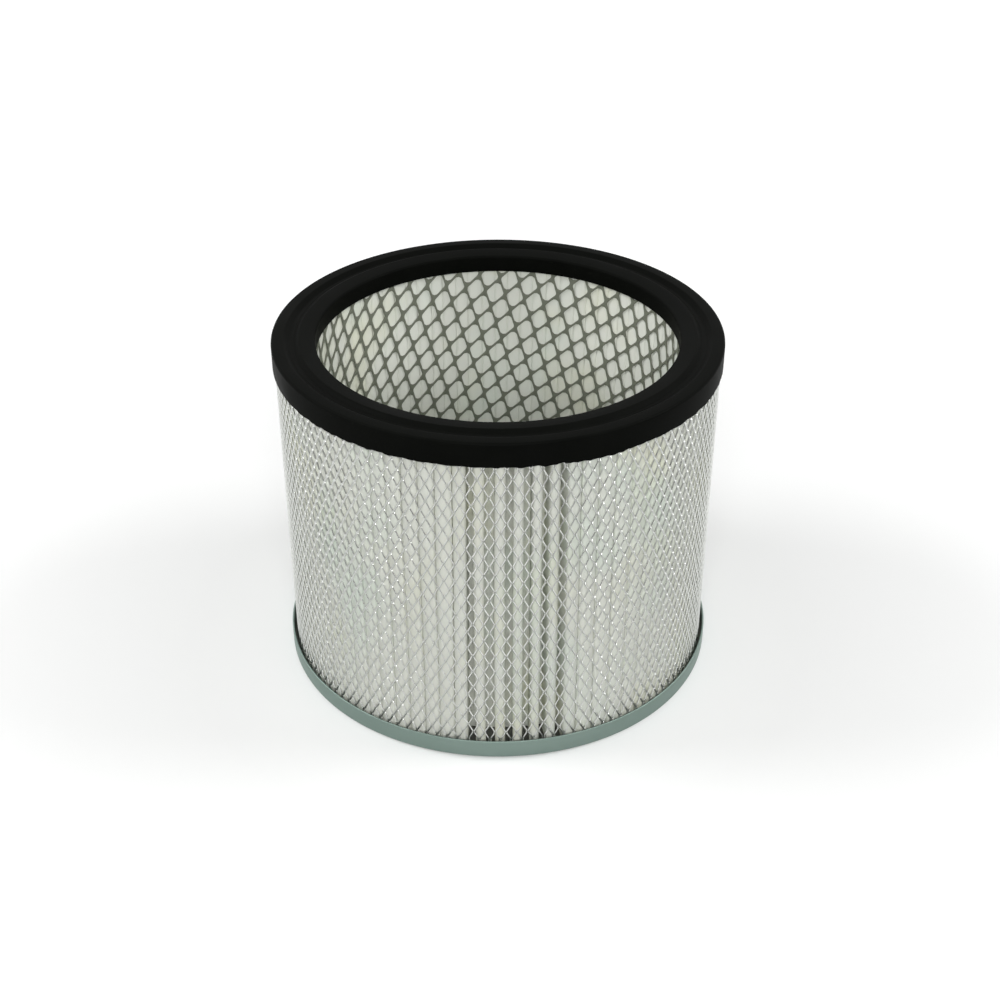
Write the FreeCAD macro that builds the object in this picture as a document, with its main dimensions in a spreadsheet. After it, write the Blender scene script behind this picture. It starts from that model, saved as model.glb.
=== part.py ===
import FreeCAD, Part
import math
import operator
import os

import Sketcher

# Pleated filter cartridge for an ash vacuum: a soft seal ring on top, a pressed pan below, and between them
# a ring of folded paper held by an outer and an inner sleeve of expanded metal.
# The origin is at the centre of the pan's underside, with +Z up. Lengths are in millimetres.

DRIVING_SIZES = {
    # Whole cartridge
    "overall_height": 129.0,
    # Soft seal ring
    "ring_outer_radius": 80.0,
    "ring_bore_radius": 64.5,
    "ring_outer_skirt": 8.8,
    "ring_inner_skirt": 7.0,
    "ring_roof": 4.3,
    "ring_skin": 0.7,
    "ring_bevel": 0.7,
    "ring_rim_width": 4.5,
    "groove_depth": 1.2,
    "groove_flank": 1.75,
    "groove_floor": 1.5,
    "land_drop": 0.7,
    # Fits between the rings of the stack
    "sleeve_fit": 0.1,
    "media_fit": 0.2,
    "bed_fit": 0.2,
    # Outer sleeve of expanded metal
    "outer_sleeve_wall": 0.8,
    "outer_columns": 16,
    "outer_row_steps": 5,
    "outer_strand": 2.6,
    # Inner sleeve of expanded metal, wound on a spiral
    "inner_sleeve_wall": 1.0,
    "inner_columns": 11,
    "inner_row_steps": 4,
    "inner_strand": 3.4,
    "inner_lean_angle": 15.8,
    # Folded paper
    "pleat_count": 78,
    "paper_thickness": 0.5,
    "fold_half_width": 0.75,
    # Pressed pan
    "pan_sheet": 0.6,
    "pan_rim_height": 7.5,
    "pan_rim_gap": 1.1,
    "pan_bend": 0.6,
    # Adhesive bed in the pan
    "bed_base": 1.5,
    "bed_overhang": 1.5,
}

PARTS_FOLDER = "parts"
FULL_TURN = 360.0
HALF = 0.5
FRONT = -90.0
FLATS_PER_COLUMN = 2
ORIGIN_POINT = (-1, 1)
HORIZONTAL_AXIS = -1
VERTICAL_AXIS = -2
LINE_START = 1
LINE_END = 2
SAME_PLACE = 1e-6


class Size:
    """A number together with the sheet formula that drives it."""

    OPERATIONS = {"+": operator.add, "-": operator.sub, "*": operator.mul, "/": operator.truediv}

    def __init__(self, value, formula):
        self.value = value
        self.formula = formula

    @classmethod
    def of(cls, thing):
        """Return a Size for a Size or a plain number."""
        return thing if isinstance(thing, cls) else cls(thing, str(thing))

    @classmethod
    def join(cls, left, sign, right):
        """Return the Size that the sign makes of two Sizes or numbers."""
        left, right = cls.of(left), cls.of(right)
        value = cls.OPERATIONS[sign](left.value, right.value)
        return cls(value, f"({left.formula} {sign} {right.formula})")

    def __add__(self, other):
        return Size.join(self, "+", other)

    def __radd__(self, other):
        return Size.join(other, "+", self)

    def __sub__(self, other):
        return Size.join(self, "-", other)

    def __rsub__(self, other):
        return Size.join(other, "-", self)

    def __mul__(self, other):
        return Size.join(self, "*", other)

    def __rmul__(self, other):
        return Size.join(other, "*", self)

    def __truediv__(self, other):
        return Size.join(self, "/", other)

    def __rtruediv__(self, other):
        return Size.join(other, "/", self)

    def __neg__(self):
        return Size.join(0, "-", self)


def sine(angle):
    """Return the sine of a Size in degrees."""
    return Size(math.sin(math.radians(angle.value)), f"sin({angle.formula})")


def cosine(angle):
    """Return the cosine of a Size in degrees."""
    return Size(math.cos(math.radians(angle.value)), f"cos({angle.formula})")


def tangent(angle):
    """Return the tangent of a Size in degrees."""
    return Size(math.tan(math.radians(angle.value)), f"tan({angle.formula})")


def length_of(across, up):
    """Return the length of a step given by two Sizes."""
    return Size(math.hypot(across.value, up.value), f"hypot({across.formula}; {up.formula})")


def flat_share(columns):
    """Return how far out a sleeve's flats lie, as a share of the radius at its upright edges."""
    return cosine(FULL_TURN * HALF / (columns * FLATS_PER_COLUMN))


def make_sheet(document):
    """Write the driving sizes into a sheet and return a Size for each alias."""
    sheet = document.addObject("Spreadsheet::Sheet", "Sizes")
    for row, (alias, value) in enumerate(DRIVING_SIZES.items(), start=1):
        sheet.set(f"A{row}", alias.replace("_", " "))
        sheet.set(f"B{row}", str(value))
        sheet.setAlias(f"B{row}", alias)
    document.recompute()
    return {alias: Size(getattr(sheet, alias), f"Sizes.{alias}") for alias in DRIVING_SIZES}


def bind(thing, path, size):
    """Drive one property of a document object from the sheet."""
    thing.setExpression(path, Size.of(size).formula)


def new_body(document, label):
    """Return an empty body whose label names the finished piece."""
    body = document.addObject("PartDesign::Body", label)
    body.Label = label
    body.Placement = FreeCAD.Placement()
    return body


def origin_feature(body, role):
    """Return the body's own origin plane or axis that has this role."""
    return next(feature for feature in body.Origin.OriginFeatures if feature.Role == role)


def new_sketch(body, name, role):
    """Return an empty sketch on one of the body's origin planes."""
    sketch = body.newObject("Sketcher::SketchObject", name)
    sketch.AttachmentSupport = [(origin_feature(body, role), "")]
    sketch.MapMode = "FlatFace"
    return sketch


def drive(sketch, kind, places, size):
    """Add a dimension to a sketch and drive it from the sheet."""
    index = sketch.addConstraint(Sketcher.Constraint(kind, *places, size.value))
    bind(sketch, f"Constraints[{index}]", size)


def pin(sketch, line, end, kind, axis, size):
    """Hold one end of a line at a distance from the sketch's origin, or on its axis where that is zero."""
    size = Size.of(size)
    if size.value == 0:
        sketch.addConstraint(Sketcher.Constraint("PointOnObject", line, end, axis))
    elif size.value > 0:
        drive(sketch, kind, (*ORIGIN_POINT, line, end), size)
    else:
        drive(sketch, kind, (line, end, *ORIGIN_POINT), -size)


def add_loop(sketch, points):
    """Draw a closed loop of lines through points given as pairs of numbers, and return the lines' numbers."""
    corners = [FreeCAD.Vector(across, up, 0) for across, up in points]
    lines = [
        sketch.addGeometry(Part.LineSegment(start, end))
        for start, end in zip(corners, corners[1:] + corners[:1])
    ]
    for line, following in zip(lines, lines[1:] + lines[:1]):
        sketch.addConstraint(Sketcher.Constraint("Coincident", line, LINE_END, following, LINE_START))
    return lines


def add_outline(sketch, corners):
    """Draw a closed outline whose corners are pairs of Sizes, each held from the sketch's origin."""
    points = [(Size.of(across).value, Size.of(up).value) for across, up in corners]
    for line, (across, up) in zip(add_loop(sketch, points), corners):
        pin(sketch, line, LINE_START, "DistanceX", VERTICAL_AXIS, across)
        pin(sketch, line, LINE_START, "DistanceY", HORIZONTAL_AXIS, up)


def revolve(body, name, corners):
    """Turn a section, given as radius and height pairs, about the upright axis."""
    sketch = new_sketch(body, f"{name}_section", "XZ_Plane")
    add_outline(sketch, corners)
    turned = body.newObject("PartDesign::Revolution", name)
    turned.Profile = sketch
    turned.ReferenceAxis = (sketch, ["V_Axis"])
    turned.Angle = FULL_TURN
    body.Document.recompute()
    return turned


def bevel_edge(body, name, base, width, radius, height):
    """Bevel the circular edge that lies at this radius and height."""
    place = (radius.value, height.value)
    edges = [
        f"Edge{index}"
        for index, edge in enumerate(base.Shape.Edges, start=1)
        if isinstance(edge.Curve, Part.Circle)
        and math.dist(place, (edge.Curve.Radius, edge.Curve.Center.z)) < SAME_PLACE
    ]
    bevel = body.newObject("PartDesign::Chamfer", name)
    bevel.Base = (base, edges)
    bind(bevel, "Size", width)
    body.Document.recompute()
    return bevel


class Stack:
    """Radii and heights at which the rings of the cartridge meet."""

    def __init__(self, size):
        self.top = size["overall_height"]
        self.channel_outer = size["ring_outer_radius"] - size["ring_skin"]
        self.channel_inner = size["ring_bore_radius"] + size["ring_skin"]
        self.outer_sleeve_outside = self.channel_outer - size["sleeve_fit"]
        self.outer_sleeve_inside = self.outer_sleeve_outside - size["outer_sleeve_wall"]
        self.media_outside = self.outer_sleeve_inside * flat_share(size["outer_columns"]) - size["media_fit"]
        clear_flats = self.channel_inner + size["sleeve_fit"]
        self.inner_sleeve_inside = clear_flats / flat_share(size["inner_columns"])
        self.inner_sleeve_outside = self.inner_sleeve_inside + size["inner_sleeve_wall"]
        self.media_inside = self.inner_sleeve_outside + size["media_fit"]
        self.pan_inside = self.outer_sleeve_outside + size["pan_rim_gap"]
        self.pan_outside = self.pan_inside + size["pan_sheet"]
        self.pack_bottom = size["pan_sheet"] + size["bed_base"]
        self.pack_top = self.top - size["ring_roof"]
        self.pack_height = self.pack_top - self.pack_bottom


def build_seal_ring(document, size, stack):
    """Make the soft ring: grooved on top, and hollow below where it grips the pleats and both sleeves."""
    body = new_body(document, "top_seal_ring")
    outer, bore, top = size["ring_outer_radius"], size["ring_bore_radius"], stack.top
    groove_outer = outer - size["ring_rim_width"]
    floor_outer = groove_outer - size["groove_flank"]
    floor_inner = floor_outer - size["groove_floor"]
    groove_inner = floor_inner - size["groove_flank"]
    groove_bottom = top - size["groove_depth"]
    land_edge = top - size["land_drop"]
    outer_foot = top - size["ring_outer_skirt"]
    inner_foot = top - size["ring_inner_skirt"]
    section = [
        (outer, outer_foot),
        (outer, top),
        (groove_outer, top),
        (floor_outer, groove_bottom),
        (floor_inner, groove_bottom),
        (groove_inner, top),
        (bore, land_edge),
        (bore, inner_foot),
        (stack.channel_inner, inner_foot),
        (stack.channel_inner, stack.pack_top),
        (stack.channel_outer, stack.pack_top),
        (stack.channel_outer, outer_foot),
    ]
    turned = revolve(body, "ring_turned", section)
    bevel_edge(body, "ring_rim_bevelled", turned, size["ring_bevel"], outer, top)
    return body


def build_pan(document, size, stack):
    """Make the pressed pan: a closed floor with an upturned rim round the foot of the outer sleeve."""
    body = new_body(document, "bottom_cap")
    sheet, rim = size["pan_sheet"], size["pan_rim_height"]
    section = [
        (0, 0),
        (stack.pan_outside, 0),
        (stack.pan_outside, rim),
        (stack.pan_inside, rim),
        (stack.pan_inside, sheet),
        (0, sheet),
    ]
    turned = revolve(body, "pan_turned", section)
    bevel_edge(body, "pan_bend", turned, size["pan_bend"], stack.pan_outside, Size.of(0))
    return body


def build_bed(document, size, stack):
    """Make the adhesive bed: a ring on the pan's floor in which the pleat pack stands."""
    body = new_body(document, "potting_bed")
    outside = stack.pan_inside - size["bed_fit"]
    inside = stack.channel_inner - size["bed_overhang"]
    foot = size["pan_sheet"]
    section = [
        (inside, foot),
        (outside, foot),
        (outside, stack.pack_bottom),
        (inside, stack.pack_bottom),
    ]
    revolve(body, "bed_turned", section)
    return body


def pad_upward(body, name, sketch, stack):
    """Raise a flat sketch from the bed to the roof of the seal ring's channel."""
    bind(sketch, "AttachmentOffset.Base.z", stack.pack_bottom)
    padded = body.newObject("PartDesign::Pad", name)
    padded.Profile = sketch
    bind(padded, "Length", stack.pack_height)
    body.Document.recompute()
    return padded


def repeat_round(body, name, feature, count):
    """Repeat a feature evenly round the upright axis."""
    pattern = body.newObject("PartDesign::PolarPattern", name)
    pattern.Originals = [feature]
    pattern.Axis = (origin_feature(body, "Z_Axis"), [""])
    pattern.Angle = FULL_TURN
    bind(pattern, "Occurrences", count)
    body.Tip = pattern
    body.Document.recompute()
    return pattern


def draw_openings(sketch, radius, columns, steps, strand, lean, stack):
    """Draw one column of diamond openings, each row stepped sideways so that its strands run on from the last.

    A positive lean tips the openings towards the left, seen from outside, as in a tube wound on a spiral.
    """
    turn = FULL_TURN / columns
    width = 2 * math.pi * radius / columns
    rise = stack.pack_height / steps
    shift = rise * tangent(lean)
    falling = (width * HALF + shift, -rise)
    rising = (width * HALF - shift, rise)
    cell = width * rise
    along_falling = HALF - strand * length_of(*rising) * HALF / cell
    along_rising = HALF - strand * length_of(*falling) * HALF / cell
    row_turn = turn * rising[0] / width
    for row in range(round(steps.value) + 1):
        whole_turns = round(row * row_turn.value / turn.value)
        centre = radius * sine(row_turn * row - turn * whole_turns)
        level = stack.pack_bottom + rise * row
        corners = []
        for fall_sign, rise_sign in ((1, 1), (-1, 1), (-1, -1), (1, -1)):
            across, up = (
                falling[axis] * along_falling * fall_sign + rising[axis] * along_rising * rise_sign
                for axis in range(len(rising))
            )
            corners.append((centre + across, level + up))
        add_outline(sketch, corners)


def build_prism(document, name, radius, columns, stack):
    """Make a prism as tall as the pleat pack, with an upright edge on the middle line of each opening."""
    prism = document.addObject("Part::Prism", name)
    prism.Placement = FreeCAD.Placement(FreeCAD.Vector(), FreeCAD.Rotation(FreeCAD.Vector(0, 0, 1), FRONT))
    bind(prism, "Polygon", columns * FLATS_PER_COLUMN)
    bind(prism, "Circumradius", radius)
    bind(prism, "Height", stack.pack_height)
    bind(prism, "Placement.Base.z", stack.pack_bottom)
    return prism


def build_sleeve(document, label, radii, columns, steps, strand, lean, stack):
    """Make a sleeve of expanded metal: a thin tube, flat from knot to knot, with diamond openings all round."""
    inside, outside = radii
    tube = document.addObject("Part::Cut", f"{label}_tube")
    tube.Base = build_prism(document, f"{label}_outside", outside, columns, stack)
    tube.Tool = build_prism(document, f"{label}_inside", inside, columns, stack)
    document.recompute()
    body = new_body(document, label)
    body.BaseFeature = tube
    openings = new_sketch(body, f"{label}_openings", "XZ_Plane")
    bind(openings, "AttachmentOffset.Base.z", inside * cosine(FULL_TURN / columns) - (outside - inside))
    draw_openings(openings, outside, columns, steps, strand, lean, stack)
    pierced = body.newObject("PartDesign::Pocket", f"{label}_pierced")
    pierced.Profile = openings
    pierced.Reversed = True
    bind(pierced, "Length", outside)
    document.recompute()
    if not pierced.Shape.Volume < tube.Shape.Volume:
        raise RuntimeError(f"the openings of {label} cut nothing")
    repeat_round(body, f"{label}_openings_round", pierced, columns)
    return body


def draw_half_pleat(sketch, size, stack):
    """Draw the paper's section from the middle of an outer fold to the middle of the next inner fold."""
    half_turn = FULL_TURN * HALF / size["pleat_count"]
    paper, fold = size["paper_thickness"], size["fold_half_width"]
    tip, valley = stack.media_outside, stack.media_inside
    inner_end = (valley * sine(half_turn), valley * cosine(half_turn))
    outer_end = ((valley + paper) * sine(half_turn), (valley + paper) * cosine(half_turn))
    guess = [
        (0, tip.value),
        (fold.value, tip.value),
        (outer_end[0].value - fold.value * HALF, outer_end[1].value),
        (outer_end[0].value, outer_end[1].value),
        (inner_end[0].value, inner_end[1].value),
        (inner_end[0].value - fold.value, inner_end[1].value),
        (fold.value * HALF, tip.value - paper.value),
        (0, tip.value - paper.value),
    ]
    lines = add_loop(sketch, guess)
    tip_out, wall_out, valley_out, valley_cut, valley_in, wall_in, tip_in, tip_cut = lines
    pin(sketch, tip_out, LINE_START, "DistanceX", VERTICAL_AXIS, 0)
    pin(sketch, tip_out, LINE_START, "DistanceY", HORIZONTAL_AXIS, tip)
    pin(sketch, tip_cut, LINE_START, "DistanceX", VERTICAL_AXIS, 0)
    pin(sketch, tip_cut, LINE_START, "DistanceY", HORIZONTAL_AXIS, tip - paper)
    pin(sketch, valley_cut, LINE_START, "DistanceX", VERTICAL_AXIS, outer_end[0])
    pin(sketch, valley_cut, LINE_START, "DistanceY", HORIZONTAL_AXIS, outer_end[1])
    pin(sketch, valley_in, LINE_START, "DistanceX", VERTICAL_AXIS, inner_end[0])
    pin(sketch, valley_in, LINE_START, "DistanceY", HORIZONTAL_AXIS, inner_end[1])
    for line in (tip_out, tip_in):
        sketch.addConstraint(Sketcher.Constraint("Horizontal", line))
    for line in (valley_out, valley_in):
        sketch.addConstraint(Sketcher.Constraint("Perpendicular", line, valley_cut))
    sketch.addConstraint(Sketcher.Constraint("Parallel", wall_out, wall_in))
    drive(sketch, "Distance", (tip_out,), fold)
    drive(sketch, "Distance", (valley_in,), fold)
    drive(sketch, "Distance", (wall_in, LINE_START, wall_out), paper)


def build_media(document, size, stack):
    """Make the folded paper: half a pleat, mirrored and repeated into a closed ring."""
    body = new_body(document, "pleated_media")
    sketch = new_sketch(body, "half_pleat_section", "XY_Plane")
    draw_half_pleat(sketch, size, stack)
    half_pleat = pad_upward(body, "half_pleat", sketch, stack)
    pleat = body.newObject("PartDesign::Mirrored", "pleat")
    pleat.Originals = [half_pleat]
    pleat.MirrorPlane = (origin_feature(body, "YZ_Plane"), [""])
    body.Tip = pleat
    document.recompute()
    ring = body.newObject("PartDesign::PolarPattern", "pleat_ring")
    ring.TransformMode = "Whole shape"
    ring.Axis = (origin_feature(body, "Z_Axis"), [""])
    ring.Angle = FULL_TURN
    bind(ring, "Occurrences", size["pleat_count"])
    body.Tip = ring
    document.recompute()
    return body


def check_document(document, pieces):
    """Stop if any object failed to build, or if a piece is not one sound solid."""
    for thing in document.Objects:
        if "Invalid" in thing.State or "Error" in thing.State:
            raise RuntimeError(f"{thing.Label} failed to build: {thing.State}")
    for piece in pieces:
        shape = piece.Shape
        if shape.isNull() or not shape.isValid() or len(shape.Solids) != 1:
            raise RuntimeError(f"{piece.Label} is not one sound solid")


def main():
    """Build every piece, check it and write it to its own file."""
    document = FreeCAD.newDocument("filter_cartridge")
    size = make_sheet(document)
    stack = Stack(size)
    upright = Size.of(0)
    pieces = [
        build_seal_ring(document, size, stack),
        build_pan(document, size, stack),
        build_bed(document, size, stack),
        build_media(document, size, stack),
        build_sleeve(
            document,
            "outer_mesh",
            (stack.outer_sleeve_inside, stack.outer_sleeve_outside),
            size["outer_columns"],
            size["outer_row_steps"],
            size["outer_strand"],
            upright,
            stack,
        ),
        build_sleeve(
            document,
            "inner_mesh",
            (stack.inner_sleeve_inside, stack.inner_sleeve_outside),
            size["inner_columns"],
            size["inner_row_steps"],
            size["inner_strand"],
            size["inner_lean_angle"],
            stack,
        ),
    ]
    document.recompute()
    check_document(document, pieces)
    os.makedirs(PARTS_FOLDER, exist_ok=True)
    for piece in pieces:
        piece.Shape.exportStep(os.path.join(PARTS_FOLDER, f"{piece.Label}.step"))


main()
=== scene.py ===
import logging
import math
from dataclasses import dataclass
from enum import Enum
from typing import NamedTuple, Optional, Union

import bmesh
import bpy
import numpy as np
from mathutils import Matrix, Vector


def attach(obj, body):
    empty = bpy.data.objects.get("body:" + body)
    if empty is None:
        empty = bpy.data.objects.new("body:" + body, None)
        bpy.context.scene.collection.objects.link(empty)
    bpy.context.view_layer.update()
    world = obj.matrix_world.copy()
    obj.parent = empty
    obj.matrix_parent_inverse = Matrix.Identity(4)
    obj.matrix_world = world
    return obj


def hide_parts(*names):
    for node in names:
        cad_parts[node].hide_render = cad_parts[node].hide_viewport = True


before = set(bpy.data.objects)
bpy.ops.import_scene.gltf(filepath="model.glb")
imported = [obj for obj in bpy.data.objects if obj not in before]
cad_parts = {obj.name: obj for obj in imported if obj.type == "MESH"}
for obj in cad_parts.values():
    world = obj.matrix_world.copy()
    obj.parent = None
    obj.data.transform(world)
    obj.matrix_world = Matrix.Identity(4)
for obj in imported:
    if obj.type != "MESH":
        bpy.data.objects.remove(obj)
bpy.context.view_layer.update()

# Pleated filter cartridge: soft seal ring, pressed pan, adhesive bed, folded paper and two sleeves of
# expanded metal. Sizes are in millimetres unless a name or docstring says otherwise; meshes are in metres.

MM = 0.001
BODY = "root"
BED_TOP = 2.1
RING_ROOF = 124.7
FRONT = -math.pi / 2
FULL_TURN = 2 * math.pi
SAME_PLACE_METRES = 1e-6
CUT_MARK = "cut_edge"
LOG = logging.getLogger("filter_cartridge")

# A colour, three numbers along x, y and z, and two arrays that belong together, such as radii and heights
Colour = tuple[float, float, float]
Triple = tuple[float, float, float]
Arrays = tuple[np.ndarray, np.ndarray]

BLACK: Colour = (0.0, 0.0, 0.0)
WHITE: Colour = (1.0, 1.0, 1.0)
FOUR_CORNERS = ((-1, -1), (1, -1), (1, 1), (-1, 1))

# A Mix node repeats its socket names for each kind of data, so its colour sockets go by number
MIX_SHARE = 0
MIX_FIRST = 6
MIX_SECOND = 7
MIX_RESULT = 2


class Corner(NamedTuple):
    """One corner of a section or an opening: its radius or arc, its height and how far it is rounded."""

    radius: float
    height: float
    rounding: float = 0.0


class Lean(Enum):
    """Which way a climbing strand leans, seen from outside; the number is the sign of its tilt."""

    LEFT = 1.0
    RIGHT = -1.0


class Value:
    """A number that varies over a surface: it wraps a socket, and maths on it adds Math nodes."""

    def __init__(self, shader: "Shader", socket: bpy.types.NodeSocket) -> None:
        """Keep the shader and the output socket that the number comes from."""
        self.shader = shader
        self.socket = socket

    def join(self, operation: str, left: "Operand", right: "Operand") -> "Value":
        """Add one Math node.

        Args:
            operation: The node's operation.
            left: The first number or value.
            right: The second number or value.

        Returns:
            The node's result.
        """
        made = self.shader.node("ShaderNodeMath", {"operation": operation}, {0: left, 1: right})
        return Value(self.shader, made.outputs[0])

    def __add__(self, other: "Operand") -> "Value":
        """Return the sum."""
        return self.join("ADD", self, other)

    def __radd__(self, other: "Operand") -> "Value":
        """Return the sum, with the number first."""
        return self.join("ADD", other, self)

    def __sub__(self, other: "Operand") -> "Value":
        """Return the difference."""
        return self.join("SUBTRACT", self, other)

    def __rsub__(self, other: "Operand") -> "Value":
        """Return the difference, with the number first."""
        return self.join("SUBTRACT", other, self)

    def __mul__(self, other: "Operand") -> "Value":
        """Return the product."""
        return self.join("MULTIPLY", self, other)

    def __rmul__(self, other: "Operand") -> "Value":
        """Return the product, with the number first."""
        return self.join("MULTIPLY", other, self)


Operand = Union[Value, float]
Paint = Union[Colour, bpy.types.NodeSocket]


class Shader:
    """The node tree of one material or of the world, with short ways to add nodes to it."""

    def __init__(self, owner: Union[bpy.types.Material, bpy.types.World]) -> None:
        """Empty the owner's node tree and keep it.

        Args:
            owner: The material or the world.
        """
        owner.use_nodes = True
        self.tree = owner.node_tree
        self.tree.nodes.clear()

    def node(self, kind: str, settings: dict, sockets: dict) -> bpy.types.Node:
        """Add one node.

        Args:
            kind: The node's type.
            settings: Its properties, which are set first; a ramp's stops go under the name stops.
            sockets: What each input gets, by name or number: a Value, a socket to link, or a plain value.

        Returns:
            The new node.
        """
        made = self.tree.nodes.new(kind)
        for name, setting in settings.items():
            if name == "stops":
                self.set_stops(made.color_ramp, setting)
            else:
                setattr(made, name, setting)
        for name, given in sockets.items():
            given = given.socket if isinstance(given, Value) else given
            if isinstance(given, bpy.types.NodeSocket):
                self.tree.links.new(given, made.inputs[name])
            else:
                made.inputs[name].default_value = given
        return made

    @staticmethod
    def set_stops(ramp: bpy.types.ColorRamp, stops: list[tuple[float, float]]) -> None:
        """Give a ramp its grey stops.

        Args:
            ramp: The ramp, which starts with two stops.
            stops: Pairs of place and grey level.
        """
        while len(ramp.elements) < len(stops):
            ramp.elements.new(1.0)
        for element, (place, level) in zip(ramp.elements, stops):
            element.position = place
            element.color = (level, level, level, 1.0)

    def noise(self, grain: float, detail: float, stretch: Triple = (1.0, 1.0, 1.0)) -> Value:
        """Add noise in the piece's own coordinates.

        Args:
            grain: The size of one blotch, in millimetres.
            detail: How many finer layers it has.
            stretch: How much denser the noise is along each axis.

        Returns:
            The noise, from 0 to 1.
        """
        place = self.node("ShaderNodeTexCoord", {}, {}).outputs["Object"]
        scaled = self.node("ShaderNodeVectorMath", {"operation": "MULTIPLY"}, {0: place, 1: stretch})
        sockets = {"Vector": scaled.outputs[0], "Scale": 1.0 / (grain * MM), "Detail": detail}
        return Value(self, self.node("ShaderNodeTexNoise", {}, sockets).outputs[0])

    def mark(self, name: str) -> Value:
        """Read the number that the mesh keeps under this name on each face."""
        return Value(self, self.node("ShaderNodeAttribute", {"attribute_name": name}, {}).outputs["Fac"])

    def spread(self, value: Value, low: float, high: float) -> Value:
        """Stretch the part of a value between two levels to the whole range from 0 to 1."""
        ramp = self.node("ShaderNodeValToRGB", {"stops": [(low, 0.0), (high, 1.0)]}, {0: value})
        return Value(self, ramp.outputs[0])

    def tint(self, share: Value, first: Paint, second: Colour) -> bpy.types.NodeSocket:
        """Mix two colours.

        Args:
            share: How much of the second colour shows.
            first: A colour, or the socket of an earlier mix.
            second: The colour mixed in.

        Returns:
            The mixed colour's socket.
        """
        first = first if isinstance(first, bpy.types.NodeSocket) else (*first, 1.0)
        sockets = {MIX_SHARE: share, MIX_FIRST: first, MIX_SECOND: (*second, 1.0)}
        return self.node("ShaderNodeMix", {"data_type": "RGBA"}, sockets).outputs[MIX_RESULT]

    def bump(self, height: Value, depth: float, strength: float) -> bpy.types.NodeSocket:
        """Turn a height into a normal.

        Args:
            height: The height, mostly from 0 to 1.
            depth: What a height of 1 stands for, in millimetres.
            strength: How much of it is used.

        Returns:
            The normal's socket.
        """
        sockets = {"Height": height, "Distance": depth * MM, "Strength": strength}
        return self.node("ShaderNodeBump", {}, sockets).outputs[0]

    def surface(self, sockets: dict) -> None:
        """Add the principled shader with these inputs and make it the surface."""
        shaded = self.node("ShaderNodeBsdfPrincipled", {}, sockets)
        self.node("ShaderNodeOutputMaterial", {}, {"Surface": shaded.outputs[0]})


@dataclass(frozen=True)
class Finish:
    """What every finish has: a name, a main colour, a second colour and a roughness."""

    name: str
    colour: Colour
    second: Colour
    roughness: float

    def material(self) -> bpy.types.Material:
        """Make a new material with this finish.

        Returns:
            The material.
        """
        made = bpy.data.materials.new(self.name)
        self.paint(Shader(made))
        return made

    def paint(self, shader: Shader) -> None:
        """Fill the material's node tree; each finish has its own way."""
        raise NotImplementedError


@dataclass(frozen=True)
class CastRubber(Finish):
    """Satin black cast rubber, faintly mottled, with rubbed streaks."""

    specular: float = 0.013
    mottle_dulling: float = 0.16
    rubbed_gloss: float = 0.1
    skin_share: float = 0.5

    def paint(self, shader: Shader) -> None:
        """Fill the node tree with a dark mottle, uneven sheen and a fine skin.

        Args:
            shader: The material's node tree.
        """
        mottle = shader.noise(grain=9.0, detail=4.0)
        rubbed = shader.spread(shader.noise(grain=26.0, detail=2.0), low=0.45, high=0.75)
        skin = shader.noise(grain=0.45, detail=2.0)
        height = skin * self.skin_share + mottle * (1 - self.skin_share)
        shader.surface(
            {
                "Base Color": shader.tint(mottle, self.colour, self.second),
                "Roughness": self.roughness + mottle * self.mottle_dulling - rubbed * self.rubbed_gloss,
                "Specular IOR Level": self.specular,
                "Normal": shader.bump(height, depth=0.08, strength=0.35),
            }
        )


@dataclass(frozen=True)
class SheetMetal(Finish):
    """Plated sheet, softly clouded, with fine rolling lines."""

    metallic: float = 0.85
    cloud_dulling: float = 0.14
    line_dulling: float = 0.06

    def paint(self, shader: Shader) -> None:
        """Fill the node tree with clouds, rolling lines and uneven gloss.

        Args:
            shader: The material's node tree.
        """
        clouds = shader.noise(grain=14.0, detail=4.0)
        lines = shader.noise(grain=1.2, detail=2.0, stretch=(0.12, 0.12, 1.0))
        shader.surface(
            {
                "Base Color": shader.tint(clouds, self.colour, self.second),
                "Metallic": self.metallic,
                "Roughness": self.roughness + clouds * self.cloud_dulling + lines * self.line_dulling,
                "Normal": shader.bump(lines, depth=0.02, strength=0.3),
            }
        )


@dataclass(frozen=True)
class PouredAdhesive(Finish):
    """Set adhesive: dull, a little lumpy, with small pits."""

    pit_dulling: float = 0.2
    pit_share: float = 0.6

    def paint(self, shader: Shader) -> None:
        """Fill the node tree with lumps, pits and uneven colour.

        Args:
            shader: The material's node tree.
        """
        lumps = shader.noise(grain=3.5, detail=4.0)
        pits = shader.spread(shader.noise(grain=0.9, detail=1.0), low=0.62, high=0.75)
        shader.surface(
            {
                "Base Color": shader.tint(lumps, self.colour, self.second),
                "Roughness": self.roughness + pits * self.pit_dulling,
                "Normal": shader.bump(lumps - pits * self.pit_share, depth=0.25, strength=0.6),
            }
        )


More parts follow.
